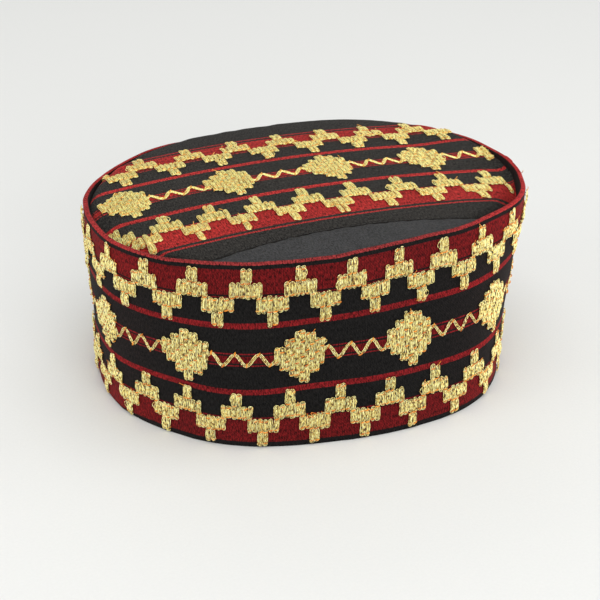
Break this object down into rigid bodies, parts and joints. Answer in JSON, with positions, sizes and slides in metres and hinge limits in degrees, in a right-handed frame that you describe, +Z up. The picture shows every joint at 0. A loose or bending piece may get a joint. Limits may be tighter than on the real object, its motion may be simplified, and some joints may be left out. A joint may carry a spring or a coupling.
{
  "type": "songkok cap",
  "caption": "Stiff oval cap of striped cloth with a thin standing rim, a low domed crown and a satin crown piece, open below for the head.",
  "frame": {"origin": "on the table, under the middle of the cap", "axes": "+X along the cap's long axis, +Y across it away from the satin crown piece, +Z up"},
  "size_m": [0.2006, 0.1745, 0.0898],
  "materials": {
    "wall_cloth": "matte",
    "crown_cloth": "matte",
    "crown_satin": "satin",
    "gold_thread": "satin",
    "tie_thread": "matte",
    "seam_thread": "matte"
  },
  "bodies": {
    "root": {"side_wall": "wall_cloth", "crown_panel": "crown_cloth", "crown_front": "crown_satin"}
  },
  "joints": []
}
